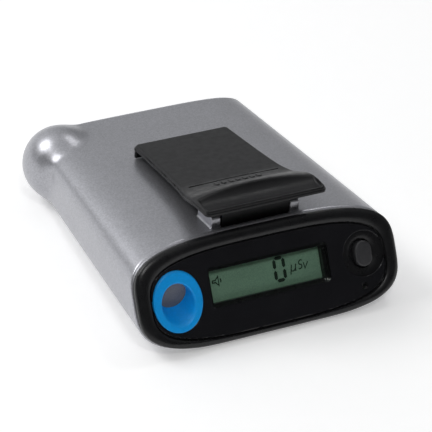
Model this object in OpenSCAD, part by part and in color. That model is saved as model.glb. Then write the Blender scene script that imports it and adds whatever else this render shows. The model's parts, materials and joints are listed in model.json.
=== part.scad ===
// Pocket radiation counter with a sprung belt clip.
//
// The display face looks towards -Y and leans back from vertical, the battery dome is at
// the rear left, and the case rests on z = 0 with its footprint centred on the origin.

/* [Case] */
// Width across the front of the case
case_w = 67; // [65:0.5:69]
// Height of the case at the front
case_h = 22; // [21.5:0.5:23]
// Distance from the middle of the face to the flat rear wall
case_l = 67.9; // [67:0.1:69]
// Width of the rear wall
rear_w = 56.4; // [55:0.2:58]
// Height of the rear wall
rear_h = 16.6; // [16:0.2:17]
// Wall thickness of the case
wall = 1.6; // [1.4:0.1:1.7]
// Lean of the display face from vertical, in degrees
face_lean = 30; // [28:1:31]

/* [Battery] */
// Radius of the round battery dome
dome_r = 9.2; // [9:0.1:9.3]
// Radius of the cell
cell_r = 5.2; // [5:0.05:5.25]
// Overall length of the cell, with its raised pole
cell_l = 44.5; // [44:0.1:44.6]
// Radius of the screw plug that closes the chamber
plug_r = 6.1; // [6:0.05:6.2]

/* [Display] */
// Width of the visible display
view_w = 28.8; // [28:0.2:29]
// Height of the visible display
view_h = 7.4; // [7:0.1:7.8]
// Outer radius of the sounder's horn ring
horn_r = 6.1; // [6:0.1:6.3]
// Width of the push button
button_w = 4.3; // [4:0.1:4.6]
// Length of the push button
button_l = 6.1; // [5.8:0.1:6.4]
// How far the button can be pressed
button_travel = 0.7; // [0.4:0.1:0.7]

/* [Belt clip] */
// Width of the clip at its thumb tab
clip_w = 30.8; // [29:0.2:32]
// Width of the clip at its tip
tip_w = 24.8; // [24:0.2:25.6]
// Thickness of the clip's plate
clip_t = 1.6; // [1.5:0.1:1.8]
// Radius of the hinge pin
pin_r = 0.8; // [0.7:0.05:0.9]

/* [Hidden] */

$fn = 64;
sliver = 0.01;
far = 60;

// Case: the outline is a superellipse whose lowest part is cut flat, as a foot.
face_n = 3.5;
rear_n = 4.8;
foot_cut = 0.3;
face_y = -32.3;
face_z = case_h / 2;
face_top_y = face_y + face_z * tan(face_lean);
rear_y = face_y + case_l;
rear_round = 1.6;
inner_round = 1;
gap = 0.3;
fine_gap = 0.05;

// Battery chamber, which runs along Y.
cell_x = -23.2;
cell_z = 9.4;
dome_y = 30.2;
chamber_r = cell_r + gap;
tube_r = chamber_r + 1.1;
tube_y = -13;
plug_y = 33;
plug_hole_r = plug_r + 0.1;
cell_y = -12.8;
pole_r = 1.9;
pole_l = 0.8;
cell_end_y = cell_y + cell_l;
contact_y = -17;
contact_t = 0.4;
contact_half = 4.4;
seal_y = plug_y + 2;
seal_r = 0.37;

// Bezel and display, measured outwards from the plane of the case's front edge.
flange_d = 0.4;
panel_d = 1.6;
panel_t = 0.5;
bezel_back_d = -1.2;
sleeve_l = 4.6;
sleeve_gap = 0.65;
sleeve_t = 1.4;
panel_x = 0;
panel_v = -0.9;
panel_w = 60;
panel_h = 20.6;
view_x = 0.1;
view_v = 0.35;
window_t = 0.8;
window_lap = 0.9;
view_r = 0.3;
window_r = 1;
lcd_d = -1.4;
lcd_t = 1.6;
lcd_w = 30.2;
lcd_h = 10.6;
holder_w = 31.8;
holder_h = 12.8;
board_d = -4.8;
board_t = 0.8;
switch_h = 1.5;
switch_w = 4.6;
plunger_r = 1.1;

// Horn and sounder, on an axis parallel to the battery's.
horn_x = -23.4;
horn_z = face_z + 0.05;
horn_face_y = face_y - panel_d / cos(face_lean);
throat_y = -31.2;
throat_r = 3.3;
mouth_r = 4.2;
mesh_t = 0.6;
mesh_lap = 0.5;
horn_back_y = -28.4;
sounder_r = 5.9;
sounder_l = 7;
sounder_port_r = 1.2;

// Button, its dish and the warning light, as places on the face.
button_x = 24.5;
button_v = 0.25;
dish_r = 5.3;
button_top_d = 2.0;
button_flange_d = -1.4;
button_flange_t = 0.8;
button_flange_w = 0.7;
light_x = 23.6;
light_v = -7.2;
light_r = 0.8;
led_w = 1.6;
led_l = 1.2;
led_t = 0.9;
display_board_at = [-16.4, -5.2];
display_board_size = [42.2, 14.6];
display_screw_at = [[18.7, 5.6], [18.7, -3.6], [-14.8, 8.3]];
display_screw_l = 2.8;
boss_r = 1.4;

// Chassis and main board.
chassis_z = 3.2;
chassis_t = 1.2;
main_z = 7.4;
main_t = 1;
main_x0 = -14;
main_x1 = 23.2;
main_y0 = -19;
main_y1 = 28;
board_screw_at = [[-12, -16], [21.6, -16], [-12, 25], [21.6, 25]];
case_screw_at = [[6, -12], [6, 24]];
case_screw_r = 1;
case_head_r = 1.95;
case_head_z = 0.9;
case_head_t = 0.8;
screw_r = 0.8;

// Label in its recess under the case.
label_y = 6;
label_w = 26;
label_l = 20;
label_r = 2;
label_t = 0.2;
label_gap = 0.2;

// Detector tube, which lies along Y over the right side of the board.
tube_x = 18;
tube_z = 12;
tube_y0 = -12;
detector_l = 21;
detector_r = 3;
filter_t = 0.45;

// Clip: a bent plate on a pin that runs along X between two ears of the case.
pin_y = -20.5;
pin_z = 23.8;
ear_x0 = 8.9;
ear_x1 = 11.2;
ear_r = 2.3;
ear_y0 = -24.8;
ear_y1 = -17.9;
ear_front_z = 24.6;
hub_x = 8.6;
hub_y0 = -24.6;
hub_bottom_z = 21.2;
pocket_x = 8.75;
pocket_y0 = -25.0;
pocket_y1 = -16.4;
pocket_z = 19.6;
pocket_floor_t = 1.5;
knuckle_x0 = 3.6;
knuckle_r = 2.7;
tip_y = 13.6;
lip_y = -29.6;
// Side view of the clip's plate as [y, z], from its tip to the lip of the thumb tab.
plate_top = [
    [tip_y, 22.1], [-7, 25.2], [-13.4, 26.3], [-16.5, 27.1], [-19.2, 28.7], [-22.2, 30.9], [-26, 30.6],
    [lip_y, 30.1]
];
plate_bottom = [
    [lip_y, 28.6], [-26, 27.5], [-22.5, 28.3], [-19.2, 26.9], [-16.5, 25.5], [-13.4, 24.7],
    [-7, 25.2 - clip_t]
];
// Half width of the plate as [x, y], where it widens from its narrow part to the thumb tab.
plate_flare = [[15.3, -22], [15, -20], [14.2, -16], [13.3, -10]];
plate_corner = 1.3;
foot_t = 1.8;
// Hollow in the thumb tab.
scoop_x = 14.6;
scoop_y = -26.2;
scoop_z = 29;
scoop_r = 4.4;

// ---- Shared shapes ----

function squircle(half_w, half_h, n, steps = 56) = [
    for (i = [0:steps - 1])
        let (t = 360 * i / steps, c = cos(t), s = sin(t))
            [half_w * sign(c) * pow(abs(c), 2 / n), half_h * sign(s) * pow(abs(s), 2 / n)]
];

// Upright section of the case, as [x, z] points, moved in from the outside by inset.
function section(half_w, height, n, inset) =
    let (half_h = (height + foot_cut) / 2 - inset, middle = (height - foot_cut) / 2)
        [for (p = squircle(half_w - inset, half_h, n)) [p[0], max(middle + p[1], inset)]];

// The same section at the face, as points in the plane of the face.
function face_outline(inset) = [
    for (p = section(case_w / 2, case_h, face_n, inset)) [p[0], (p[1] - face_z) / cos(face_lean)]
];

// Height of the outside top of the case along its middle line.
function top_z(y) = case_h + (rear_h - case_h) * (y - face_top_y) / (rear_y - face_top_y);

// Children are drawn on the face: x to the right, y up the face, z outwards.
module on_face(d = 0) {
    translate([0, face_y, face_z])
        rotate([90 - face_lean, 0, 0])
            translate([0, 0, d])
                children();
}

module face_sheet(inset, d = 0) {
    on_face(d)
        linear_extrude(sliver)
            polygon(face_outline(inset));
}

module rear_sheet(y, inset) {
    translate([0, y, 0])
        rotate([90, 0, 0])
            linear_extrude(sliver)
                polygon(section(rear_w / 2, rear_h, rear_n, inset));
}

// Everything in front of the face plane raised by d.
module ahead_of_face(d) {
    on_face(d)
        translate([-far, -far, 0])
            cube([2 * far, 2 * far, far]);
}

module along_y(x, y0, y1, z) {
    translate([x, y0, z])
        rotate([-90, 0, 0])
            linear_extrude(y1 - y0)
                children();
}

module along_x(x0, x1) {
    translate([x0, 0, 0])
        rotate([90, 0, 90])
            linear_extrude(x1 - x0)
                children();
}

module block(low, high) {
    translate(low)
        cube(high - low);
}

// Rectangle with round corners, centred.
module rounded_rectangle(w, h, r) {
    square([w - 2 * r, h], center = true);
    square([w, h - 2 * r], center = true);
    for (sx = [-1, 1], sy = [-1, 1])
        translate([sx * (w / 2 - r), sy * (h / 2 - r)])
            circle(r);
}

// Slot shape with round ends, standing upright.
module obround(w, l) {
    square([w, l - w], center = true);
    for (s = [-1, 1])
        translate([0, s * (l - w) / 2])
            circle(w / 2);
}

// Screw that stands head up with its shank below z = 0 and a hexagonal socket in its head.
module screw(shank_r, shank_l, head_r, head_t) {
    difference() {
        union() {
            cylinder(r = head_r, h = head_t);
            translate([0, 0, -shank_l])
                cylinder(r = shank_r, h = shank_l + head_t / 4);
        }
        translate([0, 0, head_t / 2])
            cylinder(r = 0.45 * head_r, h = head_t, $fn = 6);
    }
}

function unit(v) = v / norm(v);

// Round wire along a list of points that winds about an axis, as one closed skin.
function wire_ring(p, dir, axis, r, sides) =
    let (d = unit(dir), side = unit(cross(d, axis)), up = cross(side, d))
        [for (k = [0:sides - 1]) p + r * (cos(360 * k / sides) * side + sin(360 * k / sides) * up)];

module wire(points, axis, r, sides = 8) {
    last = len(points) - 1;
    rings = [
        for (i = [0:last])
            wire_ring(points[i], points[min(i + 1, last)] - points[max(i - 1, 0)], axis, r, sides)
    ];
    skin = [
        for (i = [0:last - 1], k = [0:sides - 1])
            [i * sides + k, i * sides + (k + 1) % sides,
             (i + 1) * sides + (k + 1) % sides, (i + 1) * sides + k]
    ];
    caps = [[for (k = [sides - 1:-1:0]) k], [for (k = [0:sides - 1]) last * sides + k]];
    polyhedron([for (ring = rings) each ring], concat(skin, caps), convexity = 10);
}

// ---- Case ----

module case_outside() {
    hull() {
        face_sheet(0, -sliver);
        rear_sheet(rear_y - rear_round, 0);
        rear_sheet(rear_y - rear_round * 0.29, rear_round * 0.29);
        rear_sheet(rear_y, rear_round);
    }
}

module case_inside() {
    hull() {
        translate([0, -1, 0])
            face_sheet(wall);
        rear_sheet(rear_y - wall - inner_round, wall);
        rear_sheet(rear_y - wall, wall + inner_round);
    }
}

// The chamber's outside: a plain tube that swells into the dome at the rear.
module battery_housing() {
    swell = 40;
    neck = 14;
    translate([cell_x, dome_y, cell_z])
        rotate([-90, 0, 0])
            rotate_extrude()
                polygon(concat(
                    [[0, tube_y - dome_y], [tube_r, tube_y - dome_y], [tube_r, -neck]],
                    [for (a = [-swell:10:90]) [dome_r * cos(a), dome_r * sin(a)]]
                ));
}

module clip_ear(x0, x1) {
    root_z = top_z(ear_y0) - 1;
    along_x(x0, x1) {
        translate([pin_y, pin_z])
            circle(ear_r);
        translate([ear_y0, root_z])
            square([pin_y - ear_y0, ear_front_z - root_z]);
        translate([pin_y, root_z])
            square([ear_y1 - pin_y, pin_z - root_z]);
    }
}

module case_shell() color("silver") {
    floor_z = pocket_z - pocket_floor_t;
    difference() {
        union() {
            difference() {
                union() {
                    case_outside();
                    battery_housing();
                }
                difference() {
                    case_inside();
                    battery_housing();
                    block([-pocket_x - wall, pocket_y0 - wall, floor_z],
                          [pocket_x + wall, pocket_y1 + wall, case_h]);
                }
            }
            clip_ear(-ear_x1, -ear_x0);
            clip_ear(ear_x0, ear_x1);
        }
        // Pocket that the clip's hub turns in.
        block([-pocket_x, pocket_y0, pocket_z], [pocket_x, pocket_y1, case_h + 5]);
        along_x(-ear_x1 - 1, ear_x1 + 1)
            translate([pin_y, pin_z])
                circle(pin_r);
        // Battery chamber and the wider hole for its plug.
        along_y(cell_x, tube_y - 1, plug_y + 1, cell_z)
            circle(chamber_r);
        along_y(cell_x, plug_y, plug_y + far, cell_z)
            circle(plug_hole_r);
        for (p = case_screw_at) {
            translate([p[0], p[1], 0])
                cylinder(r = case_screw_r + 0.1, h = 2 * wall + 2, center = true);
            translate([p[0], p[1], 0])
                cylinder(r = case_head_r + 0.1, h = 2 * case_head_z, center = true);
        }
        // Recess for the label under the case.
        translate([0, label_y, -1])
            linear_extrude(1 + label_t + fine_gap)
                rounded_rectangle(label_w + 2 * label_gap, label_l + 2 * label_gap, label_r + label_gap);
    }
}

module case_screws() color("dimgray") {
    for (p = case_screw_at)
        translate([p[0], p[1], case_head_z])
            mirror([0, 0, 1])
                screw(case_screw_r, 3.2, case_head_r, case_head_t);
}

module blank_label() color("gainsboro") {
    translate([0, label_y, fine_gap])
        linear_extrude(label_t)
            rounded_rectangle(label_w, label_l, label_r);
}

// ---- Bezel and face ----

// The rim's roll, as steps of [inset from the outline, height above the face plane].
module bezel_rim() {
    hull()
        for (step = [[0.3, flange_d], [0.5, 1.3], [1.2, 1.9], [2.3, 2.2]])
            face_sheet(step[0], step[1]);
}

module bezel_sleeve(inset, y0) {
    hull() {
        translate([0, y0, 0])
            face_sheet(inset, -sliver);
        translate([0, sleeve_l, 0])
            face_sheet(inset);
    }
}

module panel_outline() {
    polygon([for (p = squircle(panel_w / 2, panel_h / 2, 3.3)) [p[0] + panel_x, p[1] + panel_v]]);
}

module view_outline(lap, r) {
    translate([view_x, view_v])
        rounded_rectangle(view_w + 2 * lap, view_h + 2 * lap, r);
}

module on_button(d) {
    on_face(d)
        translate([button_x, button_v, 0])
            children();
}

module front_bezel() color([0.07, 0.07, 0.08]) {
    difference() {
        union() {
            bezel_rim();
            difference() {
                bezel_sleeve(wall + sleeve_gap, -0.8);
                translate([0, -bezel_back_d / cos(face_lean), 0])
                    bezel_sleeve(wall + sleeve_gap + sleeve_t, 0);
                // Room for the floor of the clip's pocket.
                block([-pocket_x - 2, -far, pocket_z - 2.4], [pocket_x + 2, 0, case_h]);
                along_y(horn_x, -far, 0, horn_z)
                    circle(horn_r - 1);
            }
            for (p = display_screw_at)
                on_face(board_d)
                    translate([p[0], p[1], 0])
                        cylinder(r = boss_r, h = bezel_back_d - board_d + 0.5);
        }
        on_face(panel_d - panel_t)
            linear_extrude(far)
                panel_outline();
        on_face(-far / 2)
            linear_extrude(far)
                view_outline(0, view_r);
        on_face(panel_d - panel_t - window_t)
            linear_extrude(far)
                view_outline(window_lap, window_r);
        along_y(horn_x, -far, 0, horn_z)
            circle(horn_r);
        // Dish around the button, and the hole that guides it.
        on_button(0)
            cylinder(r = dish_r, h = far);
        on_button(-far / 2)
            linear_extrude(far)
                obround(button_w + 2 * gap, button_l + 2 * gap);
        on_face(0)
            translate([light_x, light_v, 0])
                cylinder(r = light_r, h = far, center = true);
        for (p = display_screw_at)
            on_face(board_d - 0.1)
                translate([p[0], p[1], 0])
                    cylinder(r = screw_r, h = display_screw_l - board_t + 0.6);
    }
}

module bezel_gasket() color([0.1, 0.1, 0.1]) {
    on_face(0)
        linear_extrude(flange_d)
            difference() {
                polygon(face_outline(0.4));
                polygon(face_outline(1.5));
            }
}

module face_panel() color([0.04, 0.04, 0.05]) {
    difference() {
        on_face(panel_d - panel_t)
            linear_extrude(panel_t)
                difference() {
                    panel_outline();
                    view_outline(window_lap, window_r);
                    translate([button_x, button_v])
                        circle(dish_r);
                    translate([light_x, light_v])
                        circle(light_r);
                }
        along_y(horn_x, -far, 0, horn_z)
            circle(horn_r);
    }
}

module lcd_window() color([0.7, 0.8, 0.8, 0.4]) {
    on_face(panel_d - panel_t - window_t)
        linear_extrude(panel_t + window_t)
            view_outline(window_lap, window_r);
}

module lcd_glass() color([0.45, 0.52, 0.4]) {
    on_face(lcd_d - lcd_t)
        linear_extrude(lcd_t)
            translate([view_x, view_v])
                square([lcd_w, lcd_h], center = true);
}

module lcd_holder() color("dimgray") {
    on_face(board_d)
        linear_extrude(bezel_back_d - board_d - fine_gap)
            translate([view_x, view_v])
                difference() {
                    square([holder_w, holder_h], center = true);
                    square([lcd_w, lcd_h], center = true);
                }
}

module zebra_strips() color("hotpink") {
    strip_w = 1.8;
    for (s = [-1, 1])
        on_face(board_d)
            translate([view_x, view_v + s * (lcd_h / 2 - 1), 0])
                linear_extrude(lcd_d - lcd_t - board_d)
                    square([lcd_w - 3, strip_w], center = true);
}

module horn_ring() color("dodgerblue") {
    funnel_l = 11;
    flare = (mouth_r - throat_r) / (throat_y - horn_face_y);
    difference() {
        along_y(horn_x, face_y - 10, horn_back_y, horn_z)
            circle(horn_r);
        ahead_of_face(panel_d + 0.3);
        // Funnel: a cone that opens towards the face.
        translate([horn_x, throat_y, horn_z])
            rotate([90, 0, 0])
                cylinder(r1 = throat_r, r2 = throat_r + funnel_l * flare, h = funnel_l);
        along_y(horn_x, throat_y - 1, throat_y + 1, horn_z)
            circle(throat_r);
        along_y(horn_x, throat_y, 0, horn_z)
            circle(throat_r + mesh_lap);
    }
}

module horn_mesh() color("gray") {
    along_y(horn_x, throat_y, throat_y + mesh_t, horn_z)
        circle(throat_r + mesh_lap);
}

module alarm_sounder() color([0.12, 0.12, 0.12]) {
    difference() {
        along_y(horn_x, horn_back_y, horn_back_y + sounder_l, horn_z)
            circle(sounder_r);
        along_y(horn_x, horn_back_y - 1, horn_back_y + 1, horn_z)
            circle(sounder_port_r);
    }
}

// ---- Button, light and display board ----

module push_button() color([0.13, 0.13, 0.14]) {
    on_button(button_flange_d - button_flange_t)
        linear_extrude(button_flange_t)
            obround(button_w + 2 * button_flange_w, button_l + 2 * button_flange_w);
    on_button(button_flange_d)
        linear_extrude(button_top_d - button_flange_d)
            obround(button_w, button_l);
}

module button_switch() color("gray") {
    plunger_top = button_flange_d - button_flange_t - button_travel - fine_gap;
    on_button(board_d)
        linear_extrude(switch_h)
            square(switch_w, center = true);
    on_button(board_d + switch_h)
        cylinder(r = plunger_r, h = plunger_top - board_d - switch_h);
}

module light_pipe() color([0.85, 0.85, 0.8, 0.7]) {
    pipe_back_d = bezel_back_d - 0.5;
    on_face(pipe_back_d)
        translate([light_x, light_v, 0])
            cylinder(r = light_r, h = panel_d + 0.1 - pipe_back_d);
}

module alarm_led() color("darkred") {
    on_face(board_d)
        translate([light_x - 0.6, light_v + 2.9, 0])
            linear_extrude(led_t)
                square([led_w, led_l], center = true);
}

module display_board() color("darkgreen") {
    on_face(board_d - board_t)
        linear_extrude(board_t)
            difference() {
                translate(display_board_at)
                    square(display_board_size);
                for (p = display_screw_at)
                    translate(p)
                        circle(screw_r);
            }
}

module display_screws() color("silver") {
    for (p = display_screw_at)
        on_face(board_d - board_t)
            translate([p[0], p[1], 0])
                mirror([0, 0, 1])
                    screw(screw_r, display_screw_l, 1.3, 0.8);
}

module ribbon_cable() color("orange") {
    ribbon_w = 12;
    ribbon_t = 0.2;
    ribbon_z = main_z + main_t;
    board_y = face_y - (board_d - board_t) / cos(face_lean) + (ribbon_z - face_z) * tan(face_lean);
    block([0, board_y + 0.1, ribbon_z], [ribbon_w, main_y0 + 3, ribbon_z + ribbon_t]);
}

// ---- Chassis and main board ----

module chassis() color([0.25, 0.25, 0.27]) {
    tray_y0 = -18.6;
    bracket_x0 = -28;
    bracket_z0 = 4.8;
    bracket_z1 = 14.6;
    arm_x0 = -20;
    post_r = 1.8;
    pillar_r = 2.4;
    opening_w = 13;
    difference() {
        union() {
            block([main_x0, tray_y0, chassis_z], [main_x1, main_y1, chassis_z + chassis_t]);
            // Bracket that carries the front battery contact.
            block([bracket_x0, tray_y0, bracket_z0], [main_x0, tray_y0 + chassis_t, bracket_z1]);
            block([arm_x0, tray_y0, chassis_z], [main_x0, tray_y0 + chassis_t, bracket_z0 + 0.2]);
            for (p = board_screw_at)
                translate([p[0], p[1], chassis_z])
                    cylinder(r = post_r, h = main_z - chassis_z);
            for (p = case_screw_at)
                translate([p[0], p[1], wall])
                    cylinder(r = pillar_r, h = chassis_z + chassis_t - wall);
        }
        for (p = board_screw_at)
            translate([p[0], p[1], 0])
                cylinder(r = screw_r, h = far);
        for (p = case_screw_at)
            translate([p[0], p[1], 0])
                cylinder(r = case_screw_r, h = far);
        // Two openings that lighten the tray.
        for (x = [-9, 10])
            block([x, -6, 0], [x + opening_w, 18, main_z]);
    }
}

module main_board() color("green") {
    difference() {
        block([main_x0, main_y0, main_z], [main_x1, main_y1, main_z + main_t]);
        for (p = board_screw_at)
            translate([p[0], p[1], 0])
                cylinder(r = screw_r, h = far);
    }
}

module board_screws() color("silver") {
    for (p = board_screw_at)
        translate([p[0], p[1], main_z + main_t])
            screw(screw_r, 4, 1.5, 0.9);
}

module on_board(x, y) {
    translate([x, y, main_z + main_t])
        children();
}

module logic_chips() color([0.1, 0.1, 0.1]) {
    // Each chip is [x, y, width, length, height].
    for (c = [[3, -2, 10, 10, 1.4], [-8, 8, 5, 6, 1.2], [3, 10, 6, 5, 1.5]])
        on_board(c[0], c[1])
            block([-c[2] / 2, -c[3] / 2, 0], [c[2] / 2, c[3] / 2, c[4]]);
}

module power_capacitors() color("goldenrod") {
    for (y = [-10, -4, 16])
        on_board(-10, y)
            cylinder(r = 2.2, h = 5);
}

module clock_crystal() color("silver") {
    on_board(4, -12)
        linear_extrude(2.4)
            obround(3, 8);
}

module high_voltage_transformer() color("saddlebrown") {
    on_board(2, 21) {
        block([-5, -4.5, 0], [5, 4.5, 1.2]);
        block([-3.4, -4, 1.2], [3.4, 4, 4.2]);
        block([-5, -4.5, 4.2], [5, 4.5, 5.2]);
    }
}

module high_voltage_capacitors() color("steelblue") {
    for (y = [14, 18.5, 23])
        on_board(13, y)
            block([-3, -1.4, 0], [3, 1.4, 4]);
}

// ---- Detector ----

module detector_tube() color("silver") {
    pin_r = 0.5;
    pin_l = 2.5;
    end_r = detector_r - 0.6;
    shoulder = 0.8;
    translate([tube_x, tube_y0, tube_z])
        rotate([-90, 0, 0])
            rotate_extrude()
                polygon([
                    [0, -pin_l], [pin_r, -pin_l], [pin_r, 0], [end_r, 0], [detector_r, shoulder],
                    [detector_r, detector_l - shoulder], [end_r, detector_l], [pin_r, detector_l],
                    [pin_r, detector_l + pin_l], [0, detector_l + pin_l]
                ]);
}

module detector_filter() color("slategray") {
    bare_l = 4.5;
    along_y(tube_x, tube_y0 + bare_l, tube_y0 + detector_l - bare_l, tube_z)
        difference() {
            circle(detector_r + filter_t);
            circle(detector_r);
        }
}

module detector_clips() color("khaki") {
    clip_l = 2.2;
    metal_t = 0.4;
    foot_x = 1.4;
    for (y = [tube_y0 + 1.2, tube_y0 + detector_l - 1.2 - clip_l])
        difference() {
            union() {
                along_y(tube_x, y, y + clip_l, tube_z)
                    circle(detector_r + metal_t);
                block([tube_x - foot_x, y, main_z + main_t], [tube_x + foot_x, y + clip_l, tube_z - 1]);
            }
            along_y(tube_x, y - 1, y + clip_l + 1, tube_z)
                circle(detector_r);
            // The clip is open at the top.
            block([tube_x - detector_r - 1, y - 1, tube_z + detector_r / 2],
                  [tube_x + detector_r + 1, y + clip_l + 1, tube_z + far]);
        }
}

// ---- Battery and its contacts ----

module contact_plate() color("lightgray") {
    block([cell_x - contact_half, contact_y - contact_t, cell_z - contact_half],
          [cell_x + contact_half, contact_y, cell_z + contact_half]);
}

// Conical spring between the plate and the cell.
module contact_spring() color("lightgray") {
    turns = 3.5;
    steps = 14;
    wire_r = 0.25;
    wide_r = 3.7;
    narrow_r = 2.3;
    free_l = cell_y - contact_y - 2 * wire_r;
    wire([
        for (i = [0:turns * steps])
            let (t = i / (turns * steps), r = wide_r + (narrow_r - wide_r) * t, a = 360 * i / steps)
                [cell_x + r * cos(a), contact_y + wire_r + free_l * t, cell_z + r * sin(a)]
    ], [0, 1, 0], wire_r);
}

module battery_cell() color("gold") {
    translate([cell_x, cell_y, cell_z])
        rotate([-90, 0, 0])
            rotate_extrude()
                polygon([
                    [0, 0], [cell_r - 0.3, 0], [cell_r, 0.3], [cell_r, cell_l - pole_l - 0.4],
                    [cell_r - 0.4, cell_l - pole_l], [pole_r, cell_l - pole_l],
                    [pole_r, cell_l], [0, cell_l]
                ]);
}

module battery_cap() color("silver") {
    slot_w = 1.6;
    slot_d = 1.8;
    groove_w = 0.9;
    groove_d = 0.75;
    difference() {
        intersection() {
            translate([cell_x, dome_y, cell_z])
                sphere(dome_r);
            along_y(cell_x, plug_y + contact_t, dome_y + dome_r + 1, cell_z)
                circle(plug_r);
        }
        block([cell_x - plug_r - 1, dome_y + dome_r - slot_d, cell_z - slot_w / 2],
              [cell_x + plug_r + 1, dome_y + dome_r + 1, cell_z + slot_w / 2]);
        // Groove for the seal.
        along_y(cell_x, seal_y - groove_w / 2, seal_y + groove_w / 2, cell_z)
            difference() {
                circle(plug_r + 1);
                circle(plug_r - groove_d);
            }
    }
}

module cap_contact() color("lightgray") {
    along_y(cell_x, cell_end_y + fine_gap, plug_y + contact_t, cell_z)
        circle(pole_r + 0.1);
    along_y(cell_x, plug_y, plug_y + contact_t, cell_z)
        circle(contact_half);
}

module cap_seal() color([0.1, 0.1, 0.1]) {
    translate([cell_x, seal_y, cell_z])
        rotate([-90, 0, 0])
            rotate_extrude()
                translate([plug_r - seal_r, 0])
                    circle(seal_r);
}

// ---- Belt clip ----

// Side view of the plate: the tip turns down to just above the case.
module clip_profile() {
    foot_z = top_z(tip_y) + gap;
    foot_y = tip_y - foot_t;
    bend_y = foot_y - foot_t / 2;
    bend_z = lookup(bend_y, [plate_top[1], plate_top[0]]) - clip_t;
    polygon(concat(plate_top, plate_bottom, [[bend_y, bend_z], [foot_y, foot_z], [tip_y, foot_z]]));
}

// Quarter circle from a0, as points.
function arc(x, y, r, a0) = [for (a = [a0:15:a0 + 90]) [x + r * cos(a), y + r * sin(a)]];

// Plan of the plate: wide at the thumb tab and narrow at the tip, with round corners.
module clip_plan() {
    lip_x = clip_w / 2 - plate_corner;
    tip_x = tip_w / 2 - plate_corner;
    polygon(concat(
        arc(-lip_x, lip_y + plate_corner, plate_corner, 180),
        arc(lip_x, lip_y + plate_corner, plate_corner, 270),
        plate_flare,
        arc(tip_x, tip_y - plate_corner, plate_corner, 0),
        arc(-tip_x, tip_y - plate_corner, plate_corner, 90),
        [for (i = [len(plate_flare) - 1:-1:0]) [-plate_flare[i][0], plate_flare[i][1]]]
    ));
}

module clip_hub() {
    wall_t = 1.2;
    hub_top_z = 27.5;
    block([-hub_x, hub_y0, hub_bottom_z], [hub_x, hub_y0 + wall_t, hub_top_z + 1]);
    for (s = [-1, 1])
        scale([s, 1, 1])
            along_x(knuckle_x0, hub_x) {
                translate([pin_y, pin_z])
                    circle(knuckle_r);
                translate([hub_y0, hub_bottom_z])
                    square([pin_y - hub_y0, hub_top_z + 0.9 - hub_bottom_z]);
                translate([pin_y - 1, pin_z])
                    square([1 + knuckle_r, hub_top_z - pin_z]);
            }
}

module belt_clip() color([0.2, 0.2, 0.21]) {
    difference() {
        union() {
            intersection() {
                along_x(-clip_w, clip_w)
                    clip_profile();
                linear_extrude(far)
                    clip_plan();
            }
            clip_hub();
        }
        along_x(-clip_w, clip_w)
            translate([pin_y, pin_z])
                circle(pin_r + fine_gap);
        along_x(-scoop_x, scoop_x)
            translate([scoop_y, scoop_z + scoop_r])
                circle(scoop_r);
    }
}

module clip_pin() color("lightgray") {
    along_x(-ear_x1 + 0.2, ear_x1 - 0.2)
        translate([pin_y, pin_z])
            circle(pin_r);
}

// Torsion spring: one leg rests in the pocket, the other pushes the plate up.
module clip_spring() color("lightgray") {
    turns = 4;
    steps = 14;
    wire_r = 0.3;
    coil_r = pin_r + wire_r + 0.25;
    coil_w = 4.4;
    leg_l = 4;
    leg_z = pin_z - coil_r;
    under_plate = wire_r + gap / 2;
    lower_leg = [
        [-coil_w / 2, pin_y + leg_l, leg_z - 1.3],
        [-coil_w / 2, pin_y + leg_l / 2, leg_z]
    ];
    upper_leg = [
        for (y = [pin_y + 3, pin_y + 5.2]) [coil_w / 2, y, lookup(y, plate_bottom) - under_plate]
    ];
    coil = [
        for (i = [1:turns * steps - 1])
            let (t = i / (turns * steps), a = 270 - 360 * (turns - 0.5) * t)
                [coil_w * (t - 0.5), pin_y + coil_r * cos(a), pin_z + coil_r * sin(a)]
    ];
    wire(concat(lower_leg, coil, upper_leg), [1, 0, 0], wire_r);
}

case_shell();
front_bezel();
bezel_gasket();
face_panel();
lcd_window();
lcd_glass();
lcd_holder();
zebra_strips();
horn_ring();
horn_mesh();
alarm_sounder();
push_button();
button_switch();
light_pipe();
alarm_led();
display_board();
display_screws();
ribbon_cable();
chassis();
main_board();
board_screws();
logic_chips();
power_capacitors();
clock_crystal();
high_voltage_transformer();
high_voltage_capacitors();
detector_tube();
detector_filter();
detector_clips();
contact_plate();
contact_spring();
battery_cell();
battery_cap();
cap_contact();
cap_seal();
belt_clip();
clip_pin();
clip_spring();
case_screws();
blank_label();
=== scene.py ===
"""Pocket radiation counter: finished meshes, materials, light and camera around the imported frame.

Each visible piece is described by a field, the distance in millimetres from a point to its
surface, made of blended and cut shapes. One mesher turns every field into a clean closed mesh.
"""

import json
import math

import bpy
import numpy as np
from mathutils import Matrix, Vector


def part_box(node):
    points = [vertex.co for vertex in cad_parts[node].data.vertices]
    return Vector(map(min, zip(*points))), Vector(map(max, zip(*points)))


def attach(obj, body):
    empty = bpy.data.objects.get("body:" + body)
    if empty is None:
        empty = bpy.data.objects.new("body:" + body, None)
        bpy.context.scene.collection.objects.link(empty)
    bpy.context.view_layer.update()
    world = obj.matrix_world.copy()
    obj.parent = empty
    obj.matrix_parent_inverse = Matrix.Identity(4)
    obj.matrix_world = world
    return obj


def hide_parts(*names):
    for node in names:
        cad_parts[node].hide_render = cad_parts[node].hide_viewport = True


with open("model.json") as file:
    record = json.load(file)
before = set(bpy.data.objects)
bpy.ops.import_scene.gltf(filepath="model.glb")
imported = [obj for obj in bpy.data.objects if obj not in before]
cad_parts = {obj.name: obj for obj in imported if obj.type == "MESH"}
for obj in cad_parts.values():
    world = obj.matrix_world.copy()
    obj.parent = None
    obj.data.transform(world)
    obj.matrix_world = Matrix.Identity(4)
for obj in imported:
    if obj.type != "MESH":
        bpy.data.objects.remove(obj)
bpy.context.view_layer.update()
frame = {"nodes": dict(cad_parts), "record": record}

MM = 0.001


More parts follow.
